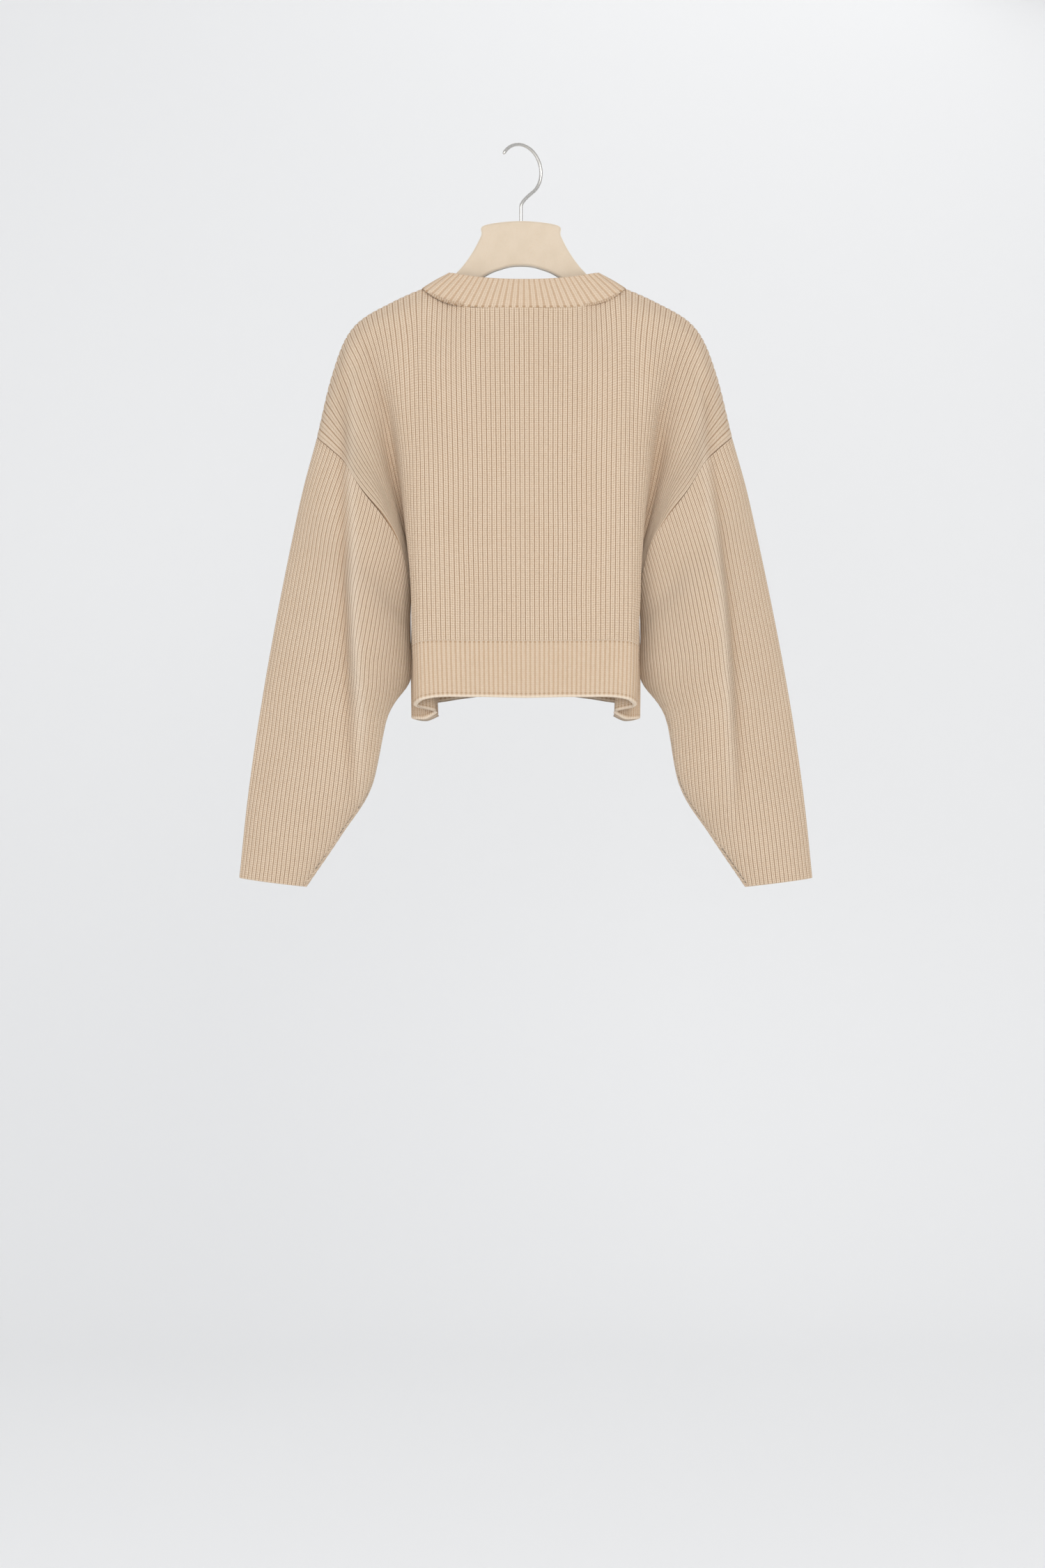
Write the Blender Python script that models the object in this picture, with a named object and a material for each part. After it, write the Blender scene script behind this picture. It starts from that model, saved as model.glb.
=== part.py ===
"""Cropped knit sweater hanging on a flat board hanger with a wire hook.

The cloth is built from its cut pieces: front, back, two sleeves, neckband and two hem ribs.
Each piece is a wall of KNIT thickness through smooth sections. Lengths are in millimetres and
are turned into metres when a mesh is made. +Z is up, the garment faces -Y, and the origin is
the inside of the hook's top, where it hangs.
"""

import math

import bmesh
import bpy
import numpy as np

# ---------------------------------------------------------------- driving sizes (mm)
METRE = 0.001
KNIT = 2.6  # wall of the cloth
SEAM_GAP = 0.3  # air between two pieces at a seam
SWAY_TOP = 3.4  # the garment hangs a little to +X of the hanger, more so lower down
SWAY_LOW = 5.6
SWAY_FROM = -190.0
SWAY_TO = -640.0

BOARD_THICK = 10.0
WIRE = 4.0  # hook wire diameter
HOOK_BEND = 29.0  # radius of the hook's bend, at the wire's centre
HOOK_TURN = math.radians(37)  # the hook's plane is turned this far about Z
HOOK_TIP = math.radians(149)
HOOK_OFF = math.radians(-48)
HOOK_NECK = 22.0  # how far the bend's direction carries into the neck below it
HOOK_BEND_STEPS = 24
HOOK_NECK_STEPS = 6
STEM_TOP = -70.0
STEM_FOOT = -103.4
HOOK_HOLE = 4.8  # bore in the board for the wire
HOOK_HOLE_FOOT = -104.0
HOOK_HOLE_TOP = -56.0

# The neckband leans inwards from its base ring to its top ring.
NECK_BASE = dict(half_width=117.0, half_depth=25.0, z_middle=-189.0, z_end=-163.5, power=3.0, rise=5.0)
NECK_TOP = dict(half_width=86.0, half_depth=18.5, z_middle=-155.0, z_end=-146.0, power=4.0, rise=2.4)
NECK_SHARE = 0.43  # the neckline takes this share of each half panel's top
TURN = 0.16  # the cloth has turned over the shoulder by this share of the first course
TURN_DEPTH = 10.0
TURN_PULL = 15.0

# Lines of stitches that run down the front, by their distance from the centre as a share of
# half the panel. Each has a point (x, y, z) at every course named in COURSES.
COURSES = ("shoulder", "yoke", "chest", "blade", "low_armhole", "underarm", "rib_join", "hem")
UNDERARM = COURSES.index("underarm")
RIB_JOIN = COURSES.index("rib_join")
HEM = COURSES.index("hem")
CENTRE_LINE = (
    (0, -25, -189), (0, -30, -250), (0, -35, -315), (0, -40, -385),
    (0, -43, -455), (0, -45, -520), (0, -46, -570), (0, -47, -634.5),
)
MIDDLE_LINE = (
    (65, -23, -186), (65, -29, -247), (64, -35, -313), (63, -40, -384),
    (63, -43, -454), (62, -45, -519), (62, -46, -570), (61, -47, -633.5),
)
NECK_END_LINE = (
    (117, 0, -163.5), (117, -22, -222), (116, -31, -299), (114, -38, -374),
    (113, -42, -448), (112, -44, -516), (111, -46, -570), (109, -48, -635),
)
CORNER_LINE = (
    (132, 0, -170), (127, -21, -224), (125, -30, -300), (123, -37, -375),
    (122, -41, -448), (121, -43, -516), (120, -45, -571), (118, -47, -637),
)
EDGE_LINE = (
    (151, 0, -179), (145, -18, -232), (140, -26, -303), (134, -33, -374),
    (131, -36, -447), (130, -35, -517), (128, -34, -574), (126, -36, -642),
)
VALLEY_LINE = (
    (197.5, 0, -210), (179, -14, -256), (164, -16, -308), (153, -11, -368),
    (139, -8, -436), (120, -14, -510), (109, -21, -580), (104, -24, -650),
)
RIDGE_LINE = (
    (221, 0, -264), (205, -18, -302), (185, -25, -351), (161, -21, -403),
    (138, -14, -461), (124, -14, -519), (119, -15, -586), (116, -17, -658),
)
LINES = (
    (0.0, CENTRE_LINE),
    (0.24, MIDDLE_LINE),
    (NECK_SHARE, NECK_END_LINE),
    (0.47, CORNER_LINE),
    (0.53, EDGE_LINE),
    (0.70, VALLEY_LINE),
    (0.86, RIDGE_LINE),
)
# Front armhole seam, from the end of the shoulder down to the underarm.
ARMHOLE = (
    (238.5, 0, -334), (233.5, -9, -339), (220, -18, -351), (203, -25, -368), (184, -31, -400),
    (162, -31, -428), (145, -25, -455), (136, -17, -484), (133, -10, -508), (131, 0, -524),
)
SIDE_SEAM = ((130.9, 0, -589), (130.8, 0, -657))  # at the rib join and at the hem
SIDE_PULL = 1.5  # roundness of the fold at the side seam
BACK_HEM_DROP = 5.0  # the back hem falls lower towards its sides
BACK_HEM_RISE = 6.0  # and hangs higher in the middle

# Sleeve sections from the armhole to the cuff. outer and inner are the two edges of the flattened
# tube, depth is how far its front stands forward, ridge is where along the width it is deepest.
SLEEVE_COLUMNS = ("outer_x", "outer_z", "inner_x", "inner_z", "depth", "ridge")
SLEEVE_SECTIONS = (
    (254.0, -392.0, 132.4, -545.0, 37.0, 0.52),
    (267.5, -452.0, 132.1, -566.0, 39.0, 0.56),
    (284.0, -532.0, 132.3, -612.0, 38.0, 0.58),
    (299.0, -612.0, 160.0, -655.0, 34.0, 0.60),
    (312.0, -692.0, 177.0, -735.0, 28.0, 0.62),
    (321.5, -765.0, 211.0, -790.0, 21.0, 0.58),
    (329.0, -840.0, 252.0, -850.5, 15.0, 0.50),
)
SLEEVE_ROUND = 0.52  # 0.5 is an ellipse, 1 is a lens with sharp edges

# Hanger board: outlines of one half from the middle out to the tip, as points of smooth curves.
OUTLINE_STEPS = 3
OUTLINE_START = 40.0  # both curves are level where they cross the middle
BOARD_TOP = (
    (0, -86), (42, -91), (46, -103), (54, -119), (64, -134), (74, -145.5),
    (84, -154.5), (118, -177), (144, -191), (168, -203), (181, -212),
)
BOARD_TIP = ((188, -217), (189, -225), (183, -233))
BOARD_BOTTOM = ((0, -138), (24, -142), (45, -152), (90, -183), (135, -212), (170, -229))

ARM_SHARES = (0, 0.025, 0.06, 0.13, 0.23, 0.34, 0.45, 0.56, 0.67, 0.78, 0.89, 1.0)  # rows down the armhole
NECK_SHARES = (0, 0.08, 0.16, 0.24, 0.31, 0.365, 0.4, 0.42, NECK_SHARE)
SIDE_SHARES = (0.47, 0.5, 0.53, 0.57, 0.62, 0.66, 0.7, 0.75, 0.8, 0.86, 0.91, 0.96, 1.0)
SLEEVE_ROWS = 13
BAND_ROWS = (0, 0.33, 0.66, 1)

# ---------------------------------------------------------------- smooth sections
def smooth(knots, values, at, first=None, last=None):
    """Cubic curve through values at knots. Slopes come from the neighbours, or first and last at the ends."""
    knots = np.asarray(knots, float)
    values = np.asarray(values, float)
    at = np.atleast_1d(np.asarray(at, float))
    steps = np.diff(knots)
    rates = np.diff(values, axis=0) / steps.reshape((-1,) + (1,) * (values.ndim - 1))
    slopes = np.empty_like(values)
    slopes[0] = rates[0] if first is None else first
    slopes[-1] = rates[-1] if last is None else last
    weight = (steps[1:] / (steps[1:] + steps[:-1])).reshape((-1,) + (1,) * (values.ndim - 1))
    slopes[1:-1] = rates[:-1] * weight + rates[1:] * (1 - weight)
    cell = np.clip(np.searchsorted(knots, at, side="right") - 1, 0, len(steps) - 1)
    width = steps[cell].reshape((-1,) + (1,) * (values.ndim - 1))
    u = ((at - knots[cell]) / steps[cell]).reshape(width.shape)
    low, high = values[cell], values[cell + 1]
    return (
        (2 * u**3 - 3 * u**2 + 1) * low
        + (u**3 - 2 * u**2 + u) * width * slopes[cell]
        + (3 * u**2 - 2 * u**3) * high
        + (u**3 - u**2) * width * slopes[cell + 1]
    )


def evenly(points, shares):
    """Points at the given shares of a polyline's length."""
    points = np.asarray(points, float)
    along = np.concatenate([[0], np.cumsum(np.linalg.norm(np.diff(points, axis=0), axis=1))])
    places = np.asarray(shares) * along[-1]
    return np.stack([np.interp(places, along, points[:, k]) for k in range(3)], axis=1)


def armhole_at(shares):
    dense = smooth(np.arange(len(ARMHOLE)), ARMHOLE, np.linspace(0, len(ARMHOLE) - 1, 161))
    return evenly(dense, shares)


def sway(points):
    """The hanging garment's small shift to +X."""
    moved = np.array(points, float)
    low = np.clip((SWAY_FROM - moved[..., 2]) / (SWAY_FROM - SWAY_TO), 0, 1)
    moved[..., 0] += SWAY_TOP + (SWAY_LOW - SWAY_TOP) * low
    return moved


def ring_quarter(ring, shares):
    """Points of a neck ring from its middle front round to its +X end, by share of its half width."""
    across = np.asarray(shares, float)
    deep = (1 - across ** ring["power"]) ** (1 / ring["power"])
    height = ring["z_middle"] + (ring["z_end"] - ring["z_middle"]) * across ** ring["rise"]
    return np.stack([ring["half_width"] * across, -ring["half_depth"] * deep, height], axis=1)


# ---------------------------------------------------------------- body panels
def panel_line(share, line, courses):
    """One line of stitches from its top to the hem."""
    line = np.array(line, float)
    knots = np.concatenate([[0, TURN], np.arange(1, len(COURSES))])
    if share < NECK_SHARE:
        line[0] = ring_quarter(NECK_BASE, [share / NECK_SHARE])[0]
    turned = line[0] + (line[1] - line[0]) * TURN
    if share < NECK_SHARE:
        return smooth(knots, np.insert(line, 1, turned, axis=0), courses)
    turned[1] = -TURN_DEPTH
    return smooth(knots, np.insert(line, 1, turned, axis=0), courses, first=(0, -TURN_PULL / TURN, 0))


def half_panel(shares, courses):
    """Front panel points, indexed [course, share], for shares 0 to 1 from the centre."""
    knots = [share for share, _ in LINES] + [1.0]
    lines = [panel_line(share, line, courses) for share, line in LINES]
    seam_knots = np.concatenate([armhole_at(np.arange(UNDERARM + 1) / UNDERARM), SIDE_SEAM])
    seam = smooth(np.arange(len(COURSES)), seam_knots, courses)
    above = courses <= UNDERARM
    seam[above] = armhole_at(courses[above] / UNDERARM)
    seam[~above, 1] = 0
    table = np.stack(lines + [seam], axis=1)
    rows = []
    for course, row in zip(courses, table):
        round_off = None
        if course >= UNDERARM:
            round_off = (0, -SIDE_PULL * row[-2, 1] / (1 - knots[-2]), 0)
        rows.append(smooth(knots, row, shares, last=round_off))
    grid = np.stack(rows)
    neck = shares < NECK_SHARE
    for row in np.flatnonzero(courses == 0):
        grid[row, neck] = ring_quarter(NECK_BASE, shares[neck] / NECK_SHARE)
        grid[row, ~neck, 1] = 0
    return grid


def panel(shares, courses, facing):
    """The whole panel, indexed [course, share] with shares from -1 to 1. facing -1 is the front."""
    grid = half_panel(np.abs(shares), courses)
    grid[..., 0] *= np.sign(shares)[None, :]
    if facing > 0:
        grid[..., 1] *= -1
        low = np.clip(courses - UNDERARM, 0, HEM - UNDERARM) / (HEM - UNDERARM)
        side = np.clip(np.abs(shares) / 0.5, 0, 1) ** 2 * np.clip((1 - np.abs(shares)) / 0.5, 0, 1)
        middle = np.clip(1 - (shares / 0.36) ** 2, 0, 1)
        grid[..., 2] += low[:, None] * (BACK_HEM_RISE * middle - BACK_HEM_DROP * side)[None, :]
    return sway(grid)


# ---------------------------------------------------------------- sleeves
def sleeve_section(row, shares):
    """Front half of one section, from its outer edge to its inner edge."""
    part = dict(zip(SLEEVE_COLUMNS, row))
    across = np.linspace(0, 1, 121)
    skew = math.log(0.5) / math.log(part["ridge"])
    lift = np.sin(math.pi * across**skew) ** SLEEVE_ROUND
    dense = np.stack(
        [
            part["outer_x"] + (part["inner_x"] - part["outer_x"]) * across,
            -part["depth"] * lift,
            part["outer_z"] + (part["inner_z"] - part["outer_z"]) * across,
        ],
        axis=1,
    )
    return evenly(dense, shares)


def half_sleeve(shares, rows):
    """Front half of the +X sleeve, indexed [row, share], rows counted in sections."""
    armhole = armhole_at(shares)
    sections = [armhole] + [sleeve_section(row, shares) for row in SLEEVE_SECTIONS]
    return smooth(np.arange(len(sections)), np.stack(sections), rows)


def sleeve(shares, rows, side):
    """The closed tube, indexed [row, place], from its outer edge over the front and back again."""
    front = half_sleeve(shares, rows)
    back = front[:, -2:0:-1].copy()
    back[..., 1] *= -1
    ring = np.concatenate([front, back], axis=1)
    ring[..., 0] *= side
    return sway(ring)


# ---------------------------------------------------------------- meshes
def outward(grid, closed_across, side):
    """Unit normals of a grid of points; side is 1 or -1 to make them point out of the garment."""
    if closed_across:
        across = np.roll(grid, -1, axis=1) - np.roll(grid, 1, axis=1)
    else:
        across = np.gradient(grid, axis=1)
    normal = np.cross(across, np.gradient(grid, axis=0)) * side
    return normal / np.linalg.norm(normal, axis=2, keepdims=True)


def finish(name, colour, roughness, metallic=0.0):
    made = bpy.data.materials.new(name)
    made.use_nodes = True
    shader = made.node_tree.nodes["Principled BSDF"]
    shader.inputs["Base Color"].default_value = (*colour, 1)
    shader.inputs["Roughness"].default_value = roughness
    shader.inputs["Metallic"].default_value = metallic
    return made


def add_object(name, points, faces, material, smooth_shading=True):
    mesh = bpy.data.meshes.new(name)
    mesh.from_pydata([tuple(METRE * value for value in point) for point in points], [], faces)
    work = bmesh.new()
    work.from_mesh(mesh)
    bmesh.ops.recalc_face_normals(work, faces=work.faces)
    work.to_mesh(mesh)
    work.free()
    mesh.materials.append(material)
    if smooth_shading:
        mesh.shade_smooth()
    made = bpy.data.objects.new(name, mesh)
    bpy.context.scene.collection.objects.link(made)
    return made


def wall(name, grid, normals, material, closed_across=False):
    """A closed wall of knit: the outer grid, the inner grid KNIT below it, and rims."""
    rows, columns = grid.shape[:2]
    inner = grid - KNIT * normals
    points = np.concatenate([grid.reshape(-1, 3), inner.reshape(-1, 3)])
    order = (np.abs(grid[..., 0]) - grid[..., 2]).reshape(-1)
    under = rows * columns
    faces = []

    def rim(first, second):
        """Two triangles, split the same way in both pieces that meet at a seam."""
        if order[first] > order[second]:
            first, second = second, first
        faces.append((first, second, under + second))
        faces.append((first, under + second, under + first))

    steps = columns if closed_across else columns - 1
    for row in range(rows):
        for column in range(steps):
            here = row * columns + column
            beside = row * columns + (column + 1) % columns
            if row in (0, rows - 1):
                rim(here, beside)
            if row < rows - 1:
                faces.append((here, beside, beside + columns, here + columns))
                faces.append((under + here, under + here + columns, under + beside + columns, under + beside))
    if not closed_across:
        for row in range(rows - 1):
            rim(row * columns, (row + 1) * columns)
            rim(row * columns + columns - 1, (row + 1) * columns + columns - 1)
    return add_object(name, points.tolist(), faces, material)


def unit(vectors):
    return vectors / np.linalg.norm(vectors, axis=-1, keepdims=True)


def draw_in(edge, inside, normals, distance, closed=False):
    """Moves an edge's points into their piece, square to the edge and to its normals."""
    if closed:
        run = np.roll(edge, -1, axis=0) - np.roll(edge, 1, axis=0)
    else:
        run = np.gradient(edge, axis=0)
    way = unit(np.cross(run, normals))
    way *= np.sign(np.sum(way * (inside - edge), axis=1, keepdims=True))
    return edge + distance * way


def trim(grid, normals, first_row=0.0, last_row=0.0, ends=0.0, closed=False):
    """Draws the grid's borders in, so that pieces keep their seam gap."""
    cut = grid.copy()
    for index, inside, distance in ((0, 1, first_row), (-1, -2, last_row)):
        if distance:
            cut[index] = draw_in(grid[index], grid[inside], normals[index], distance, closed)
    if ends:
        for index, inside in ((0, 1), (-1, -2)):
            moved = draw_in(grid[:, index], grid[:, inside], normals[:, index], ends)
            cut[:, index] += moved - grid[:, index]
    return cut


# ---------------------------------------------------------------- the garment
def shared_normal(first, second):
    """Gives two pieces one normal at a point of their seam."""
    return unit(first + second)


def build_garment(cloth):
    half_gap = SEAM_GAP / 2
    half = np.array(NECK_SHARES + SIDE_SHARES)
    shares = np.concatenate([-half[:0:-1], half])
    arm_shares = np.array(ARM_SHARES)
    arm_last = len(ARM_SHARES) - 1
    courses = np.concatenate([arm_shares * UNDERARM, [UNDERARM + 0.5, RIB_JOIN, RIB_JOIN + 0.5, HEM]])
    join = arm_last + 2
    neck_columns = np.flatnonzero(np.abs(shares) <= NECK_SHARE)

    sleeve_rows = np.linspace(0, len(SLEEVE_SECTIONS), SLEEVE_ROWS)
    tubes = {side: sleeve(arm_shares, sleeve_rows, side) for side in (-1, 1)}
    tube_normals = {side: outward(tubes[side], True, side) for side in (-1, 1)}

    panels = {facing: panel(shares, courses, facing) for facing in (-1, 1)}
    panel_normals = {facing: outward(panels[facing], False, facing) for facing in (-1, 1)}
    for facing in (-1, 1):
        normals = panel_normals[facing]
        normals[0, np.abs(shares) >= NECK_SHARE, 1] = 0
        for column in (0, -1):
            normals[arm_last:, column, 1] = 0
        panel_normals[facing] = unit(normals)

    for side in (-1, 1):
        column = -1 if side > 0 else 0
        own = tube_normals[side][0].copy()
        for facing in (-1, 1):
            for step in range(arm_last + 1):
                place = step if facing < 0 else (-step) % (2 * arm_last)
                shared = shared_normal(panel_normals[facing][step, column], own[place])
                if step in (0, arm_last):
                    shared = unit(shared * (1, 0, 1))
                panel_normals[facing][step, column] = shared
                tube_normals[side][0, place] = shared

    neck_shares = np.array(NECK_SHARES) / NECK_SHARE
    rings = []
    for ring in (NECK_BASE, NECK_TOP):
        quarter = ring_quarter(ring, neck_shares)
        front = np.concatenate([quarter[:0:-1] * (-1, 1, 1), quarter])
        back = front[-2:0:-1] * (1, -1, 1)
        rings.append(np.concatenate([front, back]))
    band = sway(np.stack([rings[0] + (rings[1] - rings[0]) * rise for rise in BAND_ROWS]))
    band_normals = outward(band, True, 1)
    last_neck = len(neck_columns) - 1
    own = band_normals[0].copy()
    for facing in (-1, 1):
        for step, column in enumerate(neck_columns):
            place = step if facing < 0 else (2 * last_neck - step) % (2 * last_neck)
            shared = shared_normal(panel_normals[facing][0, column], own[place])
            if step in (0, last_neck):
                shared = unit(shared * (1, 0, 1))
            panel_normals[facing][0, column] = shared
            band_normals[0, place] = shared

    for facing, name in ((-1, "front"), (1, "back")):
        grid, normals = panels[facing], panel_normals[facing]
        upper = trim(grid[: join + 1], normals[: join + 1], half_gap, half_gap, half_gap)
        wall(name, upper, normals[: join + 1], cloth)
        lower = trim(grid[join:], normals[join:], half_gap, 0, half_gap)
        wall(name + "_hem_rib", lower, normals[join:], cloth)
    for side, name in ((-1, "right_sleeve"), (1, "left_sleeve")):
        tube = trim(tubes[side], tube_normals[side], half_gap, closed=True)
        wall(name, tube, tube_normals[side], cloth, closed_across=True)
    wall("neckband", trim(band, band_normals, half_gap, closed=True), band_normals, cloth, closed_across=True)


# ---------------------------------------------------------------- the hanger
def board_outline():
    """The board's outline as (x, z) points, once round from the middle of its top."""
    curves = []
    for points in (BOARD_TOP, BOARD_BOTTOM):
        places = np.linspace(0, len(points) - 1, OUTLINE_STEPS * (len(points) - 1) + 1)
        curve = smooth(np.arange(len(points)), points, places, first=(OUTLINE_START, 0))
        curves.append([tuple(point) for point in curve])
    top, bottom = curves
    half = top + list(BOARD_TIP) + bottom[:0:-1]
    mirrored = [(-x, z) for x, z in half[:0:-1]]
    return half + [bottom[0]] + mirrored


def build_hanger(board_finish, wire_finish):
    outline = board_outline()
    count = len(outline)
    deep = BOARD_THICK / 2
    points = [(x, -deep, z) for x, z in outline] + [(x, deep, z) for x, z in outline]
    faces = [tuple(range(count)), tuple(range(2 * count - 1, count - 1, -1))]
    faces += [(k, k + count, (k + 1) % count + count, (k + 1) % count) for k in range(count)]
    board = add_object("hanger_board", points, faces, board_finish, smooth_shading=False)
    bore = bpy.data.meshes.new("hook_bore")
    work = bmesh.new()
    bmesh.ops.create_cone(
        work,
        cap_ends=True,
        segments=16,
        radius1=METRE * HOOK_HOLE / 2,
        radius2=METRE * HOOK_HOLE / 2,
        depth=METRE * (HOOK_HOLE_TOP - HOOK_HOLE_FOOT),
    )
    work.to_mesh(bore)
    work.free()
    cutter = bpy.data.objects.new("hook_bore", bore)
    cutter.location = (0, 0, METRE * (HOOK_HOLE_TOP + HOOK_HOLE_FOOT) / 2)
    cutter.hide_render = True
    cutter.display_type = "WIRE"
    bpy.context.scene.collection.objects.link(cutter)
    cut = board.modifiers.new("bore", "BOOLEAN")
    cut.object = cutter
    cut.operation = "DIFFERENCE"

    middle = WIRE / 2 - HOOK_BEND
    path = []
    for step in range(HOOK_BEND_STEPS + 1):
        turn = HOOK_TIP + (HOOK_OFF - HOOK_TIP) * step / HOOK_BEND_STEPS
        path.append((HOOK_BEND * math.cos(turn), middle + HOOK_BEND * math.sin(turn)))
    leave, arrive = np.array(path[-1]), np.array([0.0, STEM_TOP])
    heading = np.array([math.sin(HOOK_OFF), -math.cos(HOOK_OFF)])
    for step in range(1, HOOK_NECK_STEPS + 1):
        u = step / HOOK_NECK_STEPS
        point = (
            (2 * u**3 - 3 * u**2 + 1) * leave
            + (u**3 - 2 * u**2 + u) * HOOK_NECK * heading
            + (3 * u**2 - 2 * u**3) * arrive
            + (u**3 - u**2) * HOOK_NECK * np.array([0.0, -1.0])
        )
        path.append(tuple(point))
    path.append((0.0, STEM_FOOT))
    curve = bpy.data.curves.new("hanger_hook", "CURVE")
    curve.dimensions = "3D"
    curve.bevel_depth = METRE * WIRE / 2
    curve.bevel_resolution = 3
    curve.use_fill_caps = True
    strand = curve.splines.new("POLY")
    strand.points.add(len(path) - 1)
    for point, (along, height) in zip(strand.points, path):
        spot = (along * math.cos(HOOK_TURN), along * math.sin(HOOK_TURN), height)
        point.co = (*(METRE * value for value in spot), 1)
    curve.materials.append(wire_finish)
    bpy.context.scene.collection.objects.link(bpy.data.objects.new("hanger_hook", curve))


def main():
    for leftover in list(bpy.data.objects):
        bpy.data.objects.remove(leftover, do_unlink=True)
    cloth = finish("oat knit", (0.73, 0.55, 0.36), 0.95)
    board = finish("pale fibreboard", (0.80, 0.66, 0.48), 0.7)
    wire = finish("nickel wire", (0.70, 0.69, 0.66), 0.3, 1.0)
    build_garment(cloth)
    build_hanger(board, wire)


main()
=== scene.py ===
"""Looks of the cropped knit sweater on its hanger.

The cloth's base form repeats the named sizes and section tables of the model (millimetres), except that
the side seams and the sleeves' inner edges stand about 1 mm nearer to each other. On it every wale of the
rib is a real ridge, and the stitches inside a rib are in the material. Part of the shading of the valleys
and long folds is in the yarn's colour too.
"""

import math

import bmesh
import bpy
import numpy as np
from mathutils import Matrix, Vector


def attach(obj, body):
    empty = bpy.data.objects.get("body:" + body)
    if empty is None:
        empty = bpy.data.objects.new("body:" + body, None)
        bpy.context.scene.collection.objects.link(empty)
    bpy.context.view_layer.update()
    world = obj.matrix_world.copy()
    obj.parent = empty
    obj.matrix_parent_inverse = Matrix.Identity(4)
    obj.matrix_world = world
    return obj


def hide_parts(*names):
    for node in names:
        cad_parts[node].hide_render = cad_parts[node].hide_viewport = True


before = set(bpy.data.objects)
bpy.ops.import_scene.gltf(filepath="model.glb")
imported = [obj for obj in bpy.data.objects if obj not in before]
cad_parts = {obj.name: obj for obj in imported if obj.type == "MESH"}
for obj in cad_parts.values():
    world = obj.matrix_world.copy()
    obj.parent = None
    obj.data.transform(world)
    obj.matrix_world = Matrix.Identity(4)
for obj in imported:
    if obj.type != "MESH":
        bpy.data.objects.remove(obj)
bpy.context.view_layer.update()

MM = 0.001

# ---------------------------------------------------------------- the model's sizes (mm)
KNIT = 2.6
SWAY_TOP, SWAY_LOW = 3.4, 5.6
SWAY_FROM, SWAY_TO = -190.0, -640.0
NECK_BASE = dict(half_width=117.0, half_depth=25.0, z_middle=-189.0, z_end=-163.5, power=3.0, rise=5.0)
NECK_TOP = dict(half_width=86.0, half_depth=18.5, z_middle=-155.0, z_end=-146.0, power=4.0, rise=2.4)
NECK_SHARE = 0.43
TURN, TURN_DEPTH, TURN_PULL = 0.16, 10.0, 15.0
COURSES = ("shoulder", "yoke", "chest", "blade", "low_armhole", "underarm", "rib_join", "hem")
UNDERARM = COURSES.index("underarm")
RIB_JOIN = COURSES.index("rib_join")
HEM = COURSES.index("hem")
CENTRE_LINE = (
    (0, -25, -189), (0, -30, -250), (0, -35, -315), (0, -40, -385),
    (0, -43, -455), (0, -45, -520), (0, -46, -570), (0, -47, -634.5),
)
MIDDLE_LINE = (
    (65, -23, -186), (65, -29, -247), (64, -35, -313), (63, -40, -384),
    (63, -43, -454), (62, -45, -519), (62, -46, -570), (61, -47, -633.5),
)
NECK_END_LINE = (
    (117, 0, -163.5), (117, -22, -222), (116, -31, -299), (114, -38, -374),
    (113, -42, -448), (112, -44, -516), (111, -46, -570), (109, -48, -635),
)
CORNER_LINE = (
    (132, 0, -170), (127, -21, -224), (125, -30, -300), (123, -37, -375),
    (122, -41, -448), (121, -43, -516), (120, -45, -571), (118, -47, -637),
)
EDGE_LINE = (
    (151, 0, -179), (145, -18, -232), (140, -26, -303), (134, -33, -374),
    (131, -36, -447), (130, -35, -517), (128, -34, -574), (126, -36, -642),
)
VALLEY_LINE = (
    (197.5, 0, -210), (179, -14, -256), (164, -16, -308), (153, -11, -368),
    (139, -8, -436), (120, -14, -510), (109, -21, -580), (104, -24, -650),
)
RIDGE_LINE = (
    (221, 0, -264), (205, -18, -302), (185, -25, -351), (161, -21, -403),
    (138, -14, -461), (124, -14, -519), (119, -15, -586), (116, -17, -658),
)
LINES = (
    (0.0, CENTRE_LINE),
    (0.24, MIDDLE_LINE),
    (NECK_SHARE, NECK_END_LINE),
    (0.47, CORNER_LINE),
    (0.53, EDGE_LINE),
    (0.70, VALLEY_LINE),
    (0.86, RIDGE_LINE),
)
ARMHOLE = (
    (238.5, 0, -334), (233.5, -9, -339), (220, -18, -351), (203, -25, -368), (184, -31, -400),
    (162, -31, -428), (145, -25, -455), (136, -17, -484), (133, -10, -508), (131, 0, -524),
)
SIDE_SEAM = ((131.7, 0, -589), (131.2, 0, -657))
SIDE_PULL = 1.5
BACK_HEM_DROP = 5.0
BACK_HEM_RISE = 6.0
HALF_PANEL = 272.0
SLEEVE_COLUMNS = ("outer_x", "outer_z", "inner_x", "inner_z", "depth", "ridge")
SLEEVE_SECTIONS = (
    (254.0, -392.0, 131.8, -545.0, 37.0, 0.52),
    (267.5, -452.0, 131.9, -566.0, 39.0, 0.56),
    (284.0, -532.0, 132.0, -612.0, 38.0, 0.58),
    (299.0, -612.0, 160.0, -655.0, 34.0, 0.60),
    (312.0, -692.0, 177.0, -735.0, 28.0, 0.62),
    (321.5, -765.0, 211.0, -790.0, 21.0, 0.58),
    (329.0, -840.0, 252.0, -850.5, 15.0, 0.50),
)
SLEEVE_ROUND = 0.52

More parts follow.
